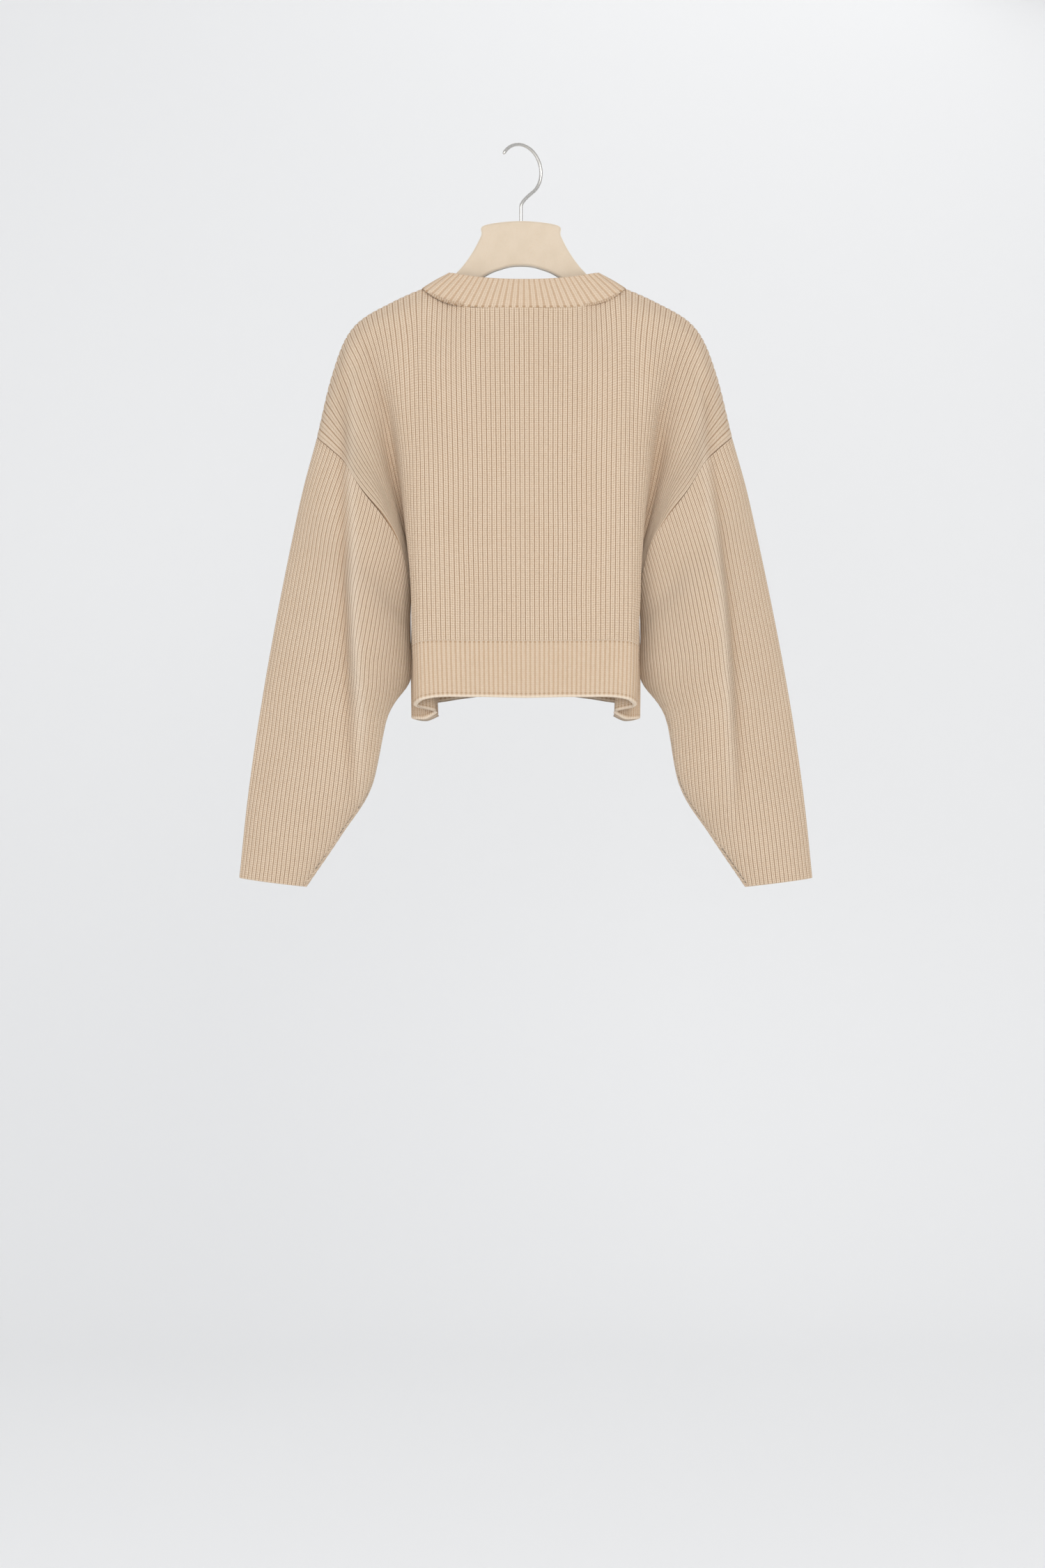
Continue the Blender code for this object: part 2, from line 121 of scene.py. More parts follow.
BOARD_THICK = 10.0
BOARD_EDGE = 3.0
BOARD_TOP = (
    (0, -86), (42, -91), (46, -103), (54, -119), (64, -134), (74, -145.5),
    (84, -154.5), (118, -177), (144, -191), (168, -203), (181, -212),
)
BOARD_TIP = ((188, -217), (189, -225), (183, -233))
BOARD_BOTTOM = ((0, -138), (24, -142), (45, -152), (90, -183), (135, -212), (170, -229))
OUTLINE_STEPS = 8
OUTLINE_START = 40.0
WIRE = 4.0
HOOK_BEND = 29.0
HOOK_TURN = math.radians(37)
HOOK_TIP = math.radians(149)
HOOK_OFF = math.radians(-48)
HOOK_NECK = 22.0
STEM_TOP, STEM_FOOT = -70.0, -103.4
HOOK_END_ROUND = (0.55, 0.9)

# ---------------------------------------------------------------- the knit
PANEL_RIBS = 49  # ribs on half a panel
NECK_RIBS = 17  # ribs on a quarter of the neckband
COURSE = 2.52  # height of one row of stitches
RIB_STEPS = (0.0, 0.1, 0.22, 0.42, 0.58, 0.78, 0.9)  # places across one rib, from groove to groove
RIB_FORMS = {  # how deep the groove is and how wide, as a share of a rib
    "body": dict(groove=0.85, width=0.15),
    "hem": dict(groove=0.50, width=0.34),
    "neck": dict(groove=0.60, width=0.36),
}
# Ribs of a sleeve: their lean from the vertical (degrees) and spacing (mm), outside and inside the fold.
OUTER_LEAN = ((0, 13.0), (4, 10.0), (7, 7.0))
INNER_LEAN = ((0, 26.0), (3, 25.0), (5, 10.0), (7, 8.0))
OUTER_PITCH, INNER_PITCH = 5.15, 4.75
# The long soft fold that falls from each end of the hanger down the sleeve: (z, x, height), by side.
LONG_FOLD = {
    -1: (
        (-215, 201, 0.0), (-270, 198, 3.2), (-320, 196.5, 4.6), (-369, 198.6, 5.5), (-440, 197, 8.0),
        (-510, 196.5, 10.0), (-572, 195, 10.5), (-642, 193.5, 8.5), (-712, 192, 4.0),
        (-775, 190, 0.0), (-860, 190, 0.0),
    ),
    1: (
        (-215, 203, 0.0), (-270, 201, 2.4), (-320, 201, 3.6), (-369, 205.6, 4.5), (-440, 214, 6.5),
        (-510, 221, 8.0), (-572, 226, 8.5), (-642, 230.6, 7.0), (-712, 235, 4.0),
        (-790, 237, 0.0), (-860, 237, 0.0),
    ),
}
FOLD_RISE, FOLD_FALL = 15.0, 58.0  # width of the fold's steep outer side and of its long inner side
FOLD_CREST = 3.0  # the crest lies this far inside the fold's x
FOLD_SIZE = 1.3  # factor on the heights
FOLD_DARK_AT, FOLD_DARK_WIDE = 9.0, 6.0  # the shaded strip, outside the fold's x
FOLD_PALE_AT, FOLD_PALE_WIDE = 2.5, 5.5  # the light strip, inside it
FOLD_RIBS = ((0, 0.0), (1, 0.8), (2, 1.6), (3, 2.2), (4, 1.8), (5, 0.8), (6, 0.0), (7, 0.0))
SEAM_INSET = 6.5  # the underarm seam shows this far in from the sleeve's edge, below the underarm
# Valley between the body's front and the drop of the shoulder: extra depth by course.
VALLEY_AT, VALLEY_WIDE = 0.68, 0.075
VALLEY_DEPTH = ((0, 0.0), (0.8, 0.0), (2, 3.6), (3, 4.8), (4, 3.4), (5, 1.6), (6, 0.0), (7, 0.0))
# Painted shade in the valley: how much darker the yarn's colour is made there, by course.
SHADE_AT, SHADE_WIDE = 0.69, 0.075
VALLEY_SHADE = ((0, 0.0), (0.8, 0.0), (2, 0.45), (3, 0.9), (4, 1.0), (5, 0.9), (6, 0.35), (7, 0.1))
# Slow unevenness of the cloth: (height, wave vector x, wave vector z, phase) in mm and turns per metre.
UNEVEN = ((0.55, 3.1, 5.3, 0.2), (0.4, -6.7, 3.9, 1.4), (0.3, 9.5, -8.1, 2.9), (0.22, 14.3, 12.7, 4.4))
NECK_CORNER = 0.6  # the panel sinks this far under the foot of the neckband, at the shoulder
SHOULDER_UP = (0.39, 0.1, 0.92)  # direction that the panel faces at that corner
SHELL = KNIT - 0.2  # wall of a cloth piece
PANEL_COURSE, SLEEVE_FIRST, SLEEVE_LAST = 63.0, 60.0, 73.0  # mm from one named course or section to the next
BAND_SPAN = 36.0  # height of the neckband
SEAM_ROLL = 1.3  # radius of a piece's edge where it turns into a seam
EDGE_DISTANCES = (0.0, 0.35, 0.9, 1.8)


def smooth(knots, values, at, first=None, last=None):
    """Cubic curve through values at knots. Slopes come from the neighbours, or first and last at the ends."""
    knots = np.asarray(knots, float)
    values = np.asarray(values, float)
    at = np.atleast_1d(np.asarray(at, float))
    steps = np.diff(knots)
    rates = np.diff(values, axis=0) / steps.reshape((-1,) + (1,) * (values.ndim - 1))
    slopes = np.empty_like(values)
    slopes[0] = rates[0] if first is None else first
    slopes[-1] = rates[-1] if last is None else last
    weight = (steps[1:] / (steps[1:] + steps[:-1])).reshape((-1,) + (1,) * (values.ndim - 1))
    slopes[1:-1] = rates[:-1] * weight + rates[1:] * (1 - weight)
    cell = np.clip(np.searchsorted(knots, at, side="right") - 1, 0, len(steps) - 1)
    width = steps[cell].reshape((-1,) + (1,) * (values.ndim - 1))
    u = ((at - knots[cell]) / steps[cell]).reshape(width.shape)
    low, high = values[cell], values[cell + 1]
    return (
        (2 * u**3 - 3 * u**2 + 1) * low
        + (u**3 - 2 * u**2 + u) * width * slopes[cell]
        + (3 * u**2 - 2 * u**3) * high
        + (u**3 - u**2) * width * slopes[cell + 1]
    )


def evenly(points, shares):
    """Points at the given shares of a polyline's length."""
    points = np.asarray(points, float)
    along = np.concatenate([[0], np.cumsum(np.linalg.norm(np.diff(points, axis=0), axis=1))])
    places = np.asarray(shares) * along[-1]
    return np.stack([np.interp(places, along, points[:, k]) for k in range(3)], axis=1)


ARMHOLE_DENSE = smooth(np.arange(len(ARMHOLE)), ARMHOLE, np.linspace(0, len(ARMHOLE) - 1, 901))


def armhole_at(shares):
    return evenly(ARMHOLE_DENSE, shares)


def sway(points):
    moved = np.array(points, float)
    low = np.clip((SWAY_FROM - moved[..., 2]) / (SWAY_FROM - SWAY_TO), 0, 1)
    moved[..., 0] += SWAY_TOP + (SWAY_LOW - SWAY_TOP) * low
    return moved


def unswayed(points):
    moved = np.array(points, float)
    low = np.clip((SWAY_FROM - moved[..., 2]) / (SWAY_FROM - SWAY_TO), 0, 1)
    moved[..., 0] -= SWAY_TOP + (SWAY_LOW - SWAY_TOP) * low
    return moved


def ring_quarter(ring, shares):
    """Points of a neck ring from its middle front round to its +X end, by share of its half width."""
    across = np.asarray(shares, float)
    deep = (1 - across ** ring["power"]) ** (1 / ring["power"])
    height = ring["z_middle"] + (ring["z_end"] - ring["z_middle"]) * across ** ring["rise"]
    return np.stack([ring["half_width"] * across, -ring["half_depth"] * deep, height], axis=1)


def panel_line(share, line, courses):
    line = np.array(line, float)
    knots = np.concatenate([[0, TURN], np.arange(1, len(COURSES))])
    if share < NECK_SHARE:
        line[0] = ring_quarter(NECK_BASE, [share / NECK_SHARE])[0]
    turned = line[0] + (line[1] - line[0]) * TURN
    if share < NECK_SHARE:
        return smooth(knots, np.insert(line, 1, turned, axis=0), courses)
    turned[1] = -TURN_DEPTH
    return smooth(knots, np.insert(line, 1, turned, axis=0), courses, first=(0, -TURN_PULL / TURN, 0))


def half_panel(shares, courses):
    """Front panel points, indexed [course, share], for shares 0 to 1 from the centre."""
    knots = [share for share, _ in LINES] + [1.0]
    lines = [panel_line(share, line, courses) for share, line in LINES]
    seam_knots = np.concatenate([armhole_at(np.arange(UNDERARM + 1) / UNDERARM), SIDE_SEAM])
    seam = smooth(np.arange(len(COURSES)), seam_knots, courses)
    above = courses <= UNDERARM
    seam[above] = armhole_at(courses[above] / UNDERARM)
    seam[~above, 1] = 0
    table = np.stack(lines + [seam], axis=1)
    rows = []
    for course, row in zip(courses, table):
        round_off = None
        if course >= UNDERARM:
            round_off = (0, -SIDE_PULL * row[-2, 1] / (1 - knots[-2]), 0)
        rows.append(smooth(knots, row, shares, last=round_off))
    grid = np.stack(rows)
    neck = shares < NECK_SHARE
    for row in np.flatnonzero(courses == 0):
        grid[row, neck] = ring_quarter(NECK_BASE, shares[neck] / NECK_SHARE)
        grid[row, ~neck, 1] = 0
    return grid


def panel(shares, courses, facing):
    grid = half_panel(np.abs(shares), courses)
    grid[..., 0] *= np.sign(shares)[None, :]
    if facing > 0:
        grid[..., 1] *= -1
        low = np.clip(courses - UNDERARM, 0, HEM - UNDERARM) / (HEM - UNDERARM)
        side = np.clip(np.abs(shares) / 0.5, 0, 1) ** 2 * np.clip((1 - np.abs(shares)) / 0.5, 0, 1)
        middle = np.clip(1 - (shares / 0.36) ** 2, 0, 1)
        grid[..., 2] += low[:, None] * (BACK_HEM_RISE * middle - BACK_HEM_DROP * side)[None, :]
    return sway(grid)


def sleeve_section(row, shares):
    part = dict(zip(SLEEVE_COLUMNS, row))
    across = np.linspace(0, 1, 401)
    skew = math.log(0.5) / math.log(part["ridge"])
    lift = np.sin(math.pi * across**skew) ** SLEEVE_ROUND
    dense = np.stack(
        [
            part["outer_x"] + (part["inner_x"] - part["outer_x"]) * across,
            -part["depth"] * lift,
            part["outer_z"] + (part["inner_z"] - part["outer_z"]) * across,
        ],
        axis=1,
    )
    return evenly(dense, shares)


def along_line(at, places, line):
    """Points at the given places of a line of points (or vectors) whose own places are known."""
    return np.stack([np.interp(at, places, line[:, k]) for k in range(3)], axis=1)


def half_sleeve(shares, rows):
    """Front half of the +X sleeve; shares is [row, place], so that each row can have its own."""
    fixed = np.linspace(0, 1, 241)
    sections = [armhole_at(fixed)] + [sleeve_section(row, fixed) for row in SLEEVE_SECTIONS]
    table = smooth(np.arange(len(sections)), np.stack(sections), rows)
    return np.stack([along_line(share, fixed, line) for share, line in zip(shares, table)])


# ---------------------------------------------------------------- fine surfaces
def unit(vectors):
    return vectors / np.maximum(np.linalg.norm(vectors, axis=-1, keepdims=True), 1e-9)


def spread(distance, limit):
    """0 at the edge, 1 from limit on, smooth between."""
    u = np.clip(distance / limit, 0, 1)
    return u * u * (3 - 2 * u)


def table_at(table, places, column=1):
    rows = np.array(table, float)
    order = np.argsort(rows[:, 0])
    return np.interp(places, rows[order, 0], rows[order, column])


def long_fold(points, side):
    """Height of the long fold at points of one side, before the sway; it is steep outside, gentle inside."""
    table = LONG_FOLD[side]
    inside = table_at(table, points[..., 2], 1) - np.abs(points[..., 0])
    rise = spread(inside + FOLD_RISE - FOLD_CREST, FOLD_RISE)
    fall = 0.5 + 0.5 * np.cos(math.pi * np.clip((inside - FOLD_CREST) / FOLD_FALL, 0, 1))
    return FOLD_SIZE * table_at(table, points[..., 2], 2) * rise * fall


def fold_marks(points, side):
    """How much painted shade the cloth gets beside the long fold, and how much painted highlight on its
    crown.
    """
    table = LONG_FOLD[side]
    inside = table_at(table, points[..., 2], 1) - np.abs(points[..., 0])
    size = table_at(table, points[..., 2], 2) / 10.0
    dark = size * np.exp(-(((inside + FOLD_DARK_AT) / FOLD_DARK_WIDE) ** 2))
    return dark, size * np.exp(-(((inside - FOLD_PALE_AT) / FOLD_PALE_WIDE) ** 2))


def unevenness(points, turn):
    """Slow rise and fall of the cloth, different on each piece by its turn."""
    x, z = points[..., 0] * MM, points[..., 2] * MM
    return sum(
        height * np.sin(2 * math.pi * (across * x + down * z) + phase + turn * (1 + k))
        for k, (height, across, down, phase) in enumerate(UNEVEN)
    )


def rib_relief(wale, form):
    """Height over the base surface across the ribs: crowns at half wales, grooves at whole ones."""
    off = 0.5 - np.abs(wale - np.floor(wale) - 0.5)  # 0 in the groove, 0.5 on the crown
    rise = np.clip(off / form["width"], 0, 1)
    rise = np.sin(rise * math.pi / 2)
    crown = 0.25 * np.sin(np.clip(off * 2, 0, 1) * math.pi / 2)
    return form["groove"] * (rise - 1) + crown


def edge_drop(distance):
    """How far a piece's edge has turned in, at a distance from it."""
    u = np.clip(distance / SEAM_ROLL, 0, 1)
    return SEAM_ROLL * (1 - np.sqrt(np.clip(1 - (1 - u) ** 2, 0, 1)))


def normals_of(grid, sign, closed=False):
    if closed:
        across = np.roll(grid, -1, axis=1) - np.roll(grid, 1, axis=1)
    else:
        across = np.gradient(grid, axis=1)
    return unit(np.cross(unit(across), unit(np.gradient(grid, axis=0)))) * sign


def wales(ribs, last_distances=(0.97, 0.93, 0.85)):
    """Wale positions from 0 to ribs, with a few extra ones near the end."""
    places = [rib + step for rib in range(ribs) for step in RIB_STEPS]
    places += [ribs - 1 + share for share in last_distances] + [ribs]
    return np.unique(np.round(places, 4))


def shell(name, outer, normals, uv, every_row, coarse_columns, closed=False, thickness=KNIT):
    """A closed thin shell: the fine outer grid, a coarse inner one, and rims between them.

    uv has six values a point: rib, course, distance in mm from the piece's last and first row, shade, light.
    """
    rows, columns = outer.shape[:2]
    coarse_rows = list(range(0, rows - 1, every_row)) + [rows - 1]
    inner = (outer - thickness * normals)[np.ix_(coarse_rows, coarse_columns)]
    inner_uv = uv[np.ix_(coarse_rows, coarse_columns)]
    points = np.concatenate([outer.reshape(-1, 3), inner.reshape(-1, 3)])
    marks = np.concatenate([uv.reshape(-1, 6), inner_uv.reshape(-1, 6)])
    _, first, same = np.unique(np.round(points, 4), axis=0, return_index=True, return_inverse=True)
    same = same.reshape(-1)
    fine = same[: rows * columns].reshape(rows, columns)
    under = same[rows * columns :].reshape(len(coarse_rows), len(coarse_columns))
    faces, corner_marks = [], []
    fine_mark = marks[: rows * columns].reshape(rows, columns, 6)
    under_mark = marks[rows * columns :].reshape(len(coarse_rows), len(coarse_columns), 6)

    def add(indices, uvs):
        kept = [k for k in range(len(indices)) if indices[k] != indices[k - 1]]
        if len({int(indices[k]) for k in kept}) >= 3 and len(kept) == len({int(indices[k]) for k in kept}):
            faces.append([int(indices[k]) for k in kept])
            corner_marks.extend(uvs[k] for k in kept)

    def quads(index, mark, wrap, flip):
        count = index.shape[1]
        across = [(c, (c + 1) % count) for c in range(count if wrap else count - 1)]
        for r in range(index.shape[0] - 1):
            for c, d in across:
                corners = [(r, c), (r, d), (r + 1, d), (r + 1, c)]
                if flip:
                    corners.reverse()
                add([index[k] for k in corners], [mark[k] for k in corners])

    quads(fine, fine_mark, closed, False)
    quads(under, under_mark, closed, True)

    def rim(fine_line, fine_marks, under_line, under_marks, cuts):
        for k in range(len(cuts) - 1):
            low, high = cuts[k], cuts[k + 1]
            indices = [under_line[k]] + list(fine_line[low : high + 1]) + [under_line[k + 1]]
            uvs = [under_marks[k]] + list(fine_marks[low : high + 1]) + [under_marks[k + 1]]
            add(indices, uvs)

    cuts = list(coarse_columns)
    for r, coarse in ((0, 0), (rows - 1, len(coarse_rows) - 1)):
        line, line_marks = fine[r], fine_mark[r]
        low, low_marks = under[coarse], under_mark[coarse]
        stops = cuts
        if closed:
            line, line_marks = np.append(line, line[0]), np.concatenate([line_marks, line_marks[:1]])
            low, low_marks = np.append(low, low[0]), np.concatenate([low_marks, low_marks[:1]])
            stops = cuts + [columns]
        rim(line, line_marks, low, low_marks, stops)
    if not closed:
        for c, coarse in ((0, 0), (columns - 1, len(coarse_columns) - 1)):
            rim(fine[:, c], fine_mark[:, c], under[:, coarse], under_mark[:, coarse], coarse_rows)

    mesh = bpy.data.meshes.new(name)
    mesh.from_pydata((points[first] * MM).tolist(), [], faces)
    corner_marks = np.array(corner_marks, np.float32)
    for k, layer_name in enumerate(("stitches", "edges", "shade")):
        layer = mesh.uv_layers.new(name=layer_name)
        layer.uv.foreach_set("vector", np.ascontiguousarray(corner_marks[:, 2 * k : 2 * k + 2]).ravel())
    turn_outwards(mesh)
    mesh.shade_smooth()
    mesh.set_sharp_from_angle(angle=math.radians(75))
    made = bpy.data.objects.new(name, mesh)
    bpy.context.scene.collection.objects.link(made)
    return made


def turn_outwards(mesh):
    work = bmesh.new()
    work.from_mesh(mesh)
    bmesh.ops.recalc_face_normals(work, faces=work.faces)
    work.to_mesh(mesh)
    work.free()


def stitch_marks(wale, down, shade=0.0, light=0.0):
    """Rib, course, the distances to both ends, how shaded it is and how light, for every point of a grid."""
    shade, light = (np.broadcast_to(amount, down.shape) for amount in (shade, light))
    return np.stack([wale, down / COURSE, down[-1:] - down, down, shade, light], axis=-1)


def lengths_down(grid):
    """Distance in mm down each column of a grid."""
    steps = np.linalg.norm(np.diff(grid, axis=0), axis=2)
    return np.concatenate([np.zeros((1, grid.shape[1])), np.cumsum(steps, axis=0)])


def course_rows(first, last, spacing_mm, mm_per_course):
    """Courses from first to last, evenly, with extra rows close to both ends."""
    count = max(2, int(round((last - first) * mm_per_course / spacing_mm)))
    inner = np.linspace(first, last, count + 1)
    near = np.array(EDGE_DISTANCES) / mm_per_course
    return np.unique(np.round(np.concatenate([inner, first + near, last - near]), 6))


def build_panels(knit, hem_knit):
    half = wales(PANEL_RIBS)
    wale = np.concatenate([-half[:0:-1], half])
    shares = wale / PANEL_RIBS
    coarse = [k for k, w in enumerate(wale) if abs(w - round(w)) < 1e-6]
    made = {}
    for facing, name in ((-1, "front"), (1, "back")):
        for part, first, last, form in (("", 0, RIB_JOIN, "body"), ("_hem_rib", RIB_JOIN, HEM, "hem")):
            courses = course_rows(first, last, 5.5 if part else 5.2, PANEL_COURSE)
            if part == "":
                turn = np.array([0.04, 0.08, 0.12, 0.16, 0.2, 0.25])
                courses = np.unique(np.round(np.concatenate([courses, turn]), 6))
            grid = panel(shares, courses, facing)
            normals = normals_of(grid, facing)
            if first == 0:
                on_shoulder = np.abs(shares) >= NECK_SHARE
                normals[0, on_shoulder, 1] = 0
                turned = np.exp(-(((np.abs(shares) - NECK_SHARE) / 0.03) ** 2))[None, :]
                turned = (turned * (1 - spread(courses, 0.14))[:, None])[..., None]
                across, out, up = SHOULDER_UP
                flat = np.ones_like(shares)
                above = np.stack([across * np.sign(shares), out * facing * flat, up * flat], axis=1)
                normals = normals * (1 - turned) + above[None, :, :] * turned
            normals = unit(normals)
            down = lengths_down(grid)
            middle = down[:, len(wale) // 2][:, None]
            to_bottom = middle[-1] - middle
            to_side = ((PANEL_RIBS - np.abs(wale)) * HALF_PANEL / PANEL_RIBS)[None, :]
            soft = spread(np.minimum(middle, to_bottom) + 0.6, 1.5)
            height = rib_relief(wale, RIB_FORMS[form])[None, :] * soft - 0.25 * edge_drop(to_side + 0.1)
            neck = (np.abs(shares) < NECK_SHARE)[None, :]
            if part:
                height = height - 0.7 * edge_drop(middle + 0.1) - edge_drop(to_bottom)
            else:
                height = height - np.where(neck, 0.0, 0.25) * edge_drop(middle + 0.1)
                height = np.where(neck, height * spread(middle + 0.2, 3.0), height)
                corner = np.exp(-(((np.abs(shares) - NECK_SHARE) / 0.022) ** 2))[None, :]
                height = height - NECK_CORNER * corner * (1 - spread(middle, 9.0))
                height = height - 0.7 * edge_drop(to_bottom + 0.1)
            valley = np.exp(-(((np.abs(shares) - VALLEY_AT) / VALLEY_WIDE) ** 2))[None, :]
            height = height - valley * table_at(VALLEY_DEPTH, courses)[:, None]
            away = spread(np.abs(grid[..., 1]), 9.0)
            for side in (-1, 1):
                own = ((np.sign(shares) == side) & (np.abs(shares) > VALLEY_AT))[None, :]
                strength = 1.0 if facing < 0 else 0.75
                height = height + strength * own * away * long_fold(unswayed(grid), side)
            height = height + away * unevenness(grid, facing)
            outer = grid + normals * height[..., None]
            # painted shade: the yarn is made darker in the valley, where its shadow falls
            shade = np.exp(-(((np.abs(shares) - SHADE_AT) / SHADE_WIDE) ** 2))[None, :]
            shade = shade * table_at(VALLEY_SHADE, courses)[:, None]
            # painted shade and painted highlight beside the long folds
            light = 0.0
            for side in (-1, 1):
                own = ((np.sign(shares) == side) & (np.abs(shares) > VALLEY_AT))[None, :]
                dark, pale = fold_marks(unswayed(grid), side)
                shade = np.maximum(shade, own * away * dark)
                light = light + own * away * pale
            middle = np.broadcast_to(middle, down.shape)
            uv = stitch_marks(np.broadcast_to(wale[None, :], down.shape), middle, shade, light)
            made[name + part] = shell(
                name + part + "_cloth", outer, normals, uv, 2, coarse, thickness=SHELL
            )
            made[name + part].data.materials.append(hem_knit if part else knit)
    return made


def rib_counts(side, rows, fixed):
    """How many ribs lie outside each place of a sleeve's front, row by row, and the length of each row."""
    front = half_sleeve(np.repeat(fixed[None, :], len(rows), axis=0), rows)
    ridge = np.array([
        np.interp(-table_at(LONG_FOLD[side], line[:, 2].mean(), 1), -line[:, 0], fixed) for line in front
    ])
    steps = np.diff(front, axis=1)
    middle = (fixed[1:] + fixed[:-1]) / 2
    inner = spread(middle[None, :] - ridge[:, None] + 0.06, 0.12)
    lean = np.radians(
        table_at(OUTER_LEAN, rows)[:, None] * (1 - inner) + table_at(INNER_LEAN, rows)[:, None] * inner
    )
    across = np.abs(steps[..., 0]) * np.cos(lean) + np.abs(steps[..., 2]) * np.sin(lean)
    each = np.hypot(across, steps[..., 1]) / (OUTER_PITCH * (1 - inner) + INNER_PITCH * inner)
    band = np.exp(-(((middle[None, :] - ridge[:, None] + 0.012) / 0.03) ** 2))
    each = each + table_at(FOLD_RIBS, rows)[:, None] * band / band.sum(axis=1, keepdims=True)
    counts = np.concatenate([np.zeros((len(rows), 1)), np.cumsum(each, axis=1)], axis=1)
    return counts, np.linalg.norm(steps, axis=2).sum(axis=1)


def build_sleeve(side, name, knit):
    sections = len(SLEEVE_SECTIONS)
    near = np.array(EDGE_DISTANCES)
    rows = np.unique(np.round(np.concatenate([
        np.linspace(0, sections, 104), near / SLEEVE_FIRST, sections - near / SLEEVE_LAST
    ]), 6))
    fixed = np.linspace(0, 1, 241)
    counts, reach = rib_counts(side, rows, fixed)
    ribs = counts[:, -1]
    half = wales(int(math.ceil(ribs.max())))
    wale = np.concatenate([-half[:0:-1], half])
    held = np.clip(wale[None, :], -ribs[:, None], ribs[:, None])
    place = np.stack([np.interp(np.abs(h), count, fixed) for h, count in zip(held, counts)]) * np.sign(held)
    inset = (SEAM_INSET * spread(rows - 3.4, 0.9) / reach)[:, None]
    place = np.where(place > 0, place * (1 - inset), place * (1 + inset))
    place = np.where(place < -1, place + 2, place)
    grid = half_sleeve(np.abs(place), rows)
    grid[..., 1] *= np.where(place >= 0, 1, -1)
    # painted shade beside the long fold and painted highlight on its crown
    dark, pale = (amount * spread(np.abs(grid[..., 1]), 12.0) for amount in fold_marks(grid, side))
    folds = long_fold(grid, side) * spread(np.abs(grid[..., 1]), 12.0) * np.where(place >= 0, 1, 0.8)
    grid[..., 0] *= side
    grid = sway(grid)
    folds = folds + unevenness(grid, 2 + side) * spread(np.abs(grid[..., 1]), 10.0)
    # one smooth ring of normals, taken where no wales have ended
    ring = np.linspace(-1, 1, 721)[:-1]
    base = half_sleeve(np.repeat(np.abs(ring)[None, :], len(rows), axis=0), rows)
    base[..., 1] *= np.where(ring >= 0, 1, -1)[None, :]
    base[..., 0] *= side
    base_normals = normals_of(sway(base), side, closed=True)
    closing = np.concatenate([base_normals, base_normals[:, :1]], axis=1)
    ends = np.append(ring, 1.0)
    normals = unit(np.stack([along_line(p, ends, n) for p, n in zip(place, closing)]))
    middle = lengths_down(grid)[:, len(wale) // 2][:, None]
    to_seam = (ribs[:, None] - np.abs(held)) * HALF_PANEL / PANEL_RIBS
    to_end = middle[-1] - middle
    height = rib_relief(held, RIB_FORMS["body"]) * spread(to_seam + 0.3, 3.0) * spread(middle + 0.6, 1.5)
    height = height - 0.35 * (1 - spread(to_seam, 3.0)) - 0.8 * edge_drop(middle + 0.1)
    height = height - edge_drop(to_end) + folds
    outer = grid + normals * height[..., None]
    uv = stitch_marks(held, np.broadcast_to(middle, held.shape), dark, pale)
    uv[..., 2] = np.minimum(uv[..., 2], 50.0)
    coarse = [k for k, w in enumerate(wale) if abs(w - round(w)) < 1e-6]
    made = shell(name + "_cloth", outer, normals, uv, 2, coarse, thickness=SHELL)
    made.data.materials.append(knit)
    return made


def build_neckband(knit):
    steps = [rib + step for rib in range(NECK_RIBS) for step in RIB_STEPS] + [NECK_RIBS]
    quarter_shares = np.array(steps) / NECK_RIBS
    rings = []
    for ring in (NECK_BASE, NECK_TOP):
        dense = ring_quarter(ring, np.sin(np.linspace(0, math.pi / 2, 721)))
        quarter = evenly(dense, quarter_shares)
        front = np.concatenate([quarter[:0:-1] * (-1, 1, 1), quarter])
        rings.append(np.concatenate([front, front[-2:0:-1] * (1, -1, 1)]))
    wale_quarter = quarter_shares * NECK_RIBS
    wale_front = np.concatenate([-wale_quarter[:0:-1], wale_quarter])
    wale = np.concatenate([wale_front, 2 * NECK_RIBS - wale_front[-2:0:-1]])
    near = np.array(EDGE_DISTANCES) / BAND_SPAN
    rises = np.unique(np.round(np.concatenate([np.linspace(0, 1, 10), near, 1 - near]), 5))
    bulge = 0.6
    grid = np.stack([rings[0] + (rings[1] - rings[0]) * rise for rise in rises])
    grid = sway(grid)
    normals = normals_of(grid, 1, closed=True)
    up = rises[:, None] * BAND_SPAN
    soft = spread(np.minimum(up, BAND_SPAN - up) + 0.6, 1.5)
    height = bulge * np.sin(math.pi * rises)[:, None] + rib_relief(wale, RIB_FORMS["neck"])[None, :] * soft
    height = height * spread(up + 0.2, 3.0) - edge_drop(BAND_SPAN - up)
    outer = grid + normals * height[..., None]
    uv = stitch_marks(np.broadcast_to(wale[None, :], grid.shape[:2]), np.broadcast_to(up, grid.shape[:2]))
    coarse = [k for k, w in enumerate(wale) if abs(w - round(w)) < 1e-6]
    made = shell("neckband_cloth", outer, normals, uv, 2, coarse, closed=True, thickness=SHELL)
    made.data.materials.append(knit)
    return made


# ---------------------------------------------------------------- the hanger
def board_outline():
    curves = []
    for points in (BOARD_TOP, BOARD_BOTTOM):
        places = np.linspace(0, len(points) - 1, OUTLINE_STEPS * (len(points) - 1) + 1)
        curve = smooth(np.arange(len(points)), points, places, first=(OUTLINE_START, 0))
        curves.append([tuple(point) for point in curve])
    top, bottom = curves
    half = top + list(BOARD_TIP) + bottom[:0:-1]
    mirrored = [(-x, z) for x, z in half[:0:-1]]
    return half + [bottom[0]] + mirrored


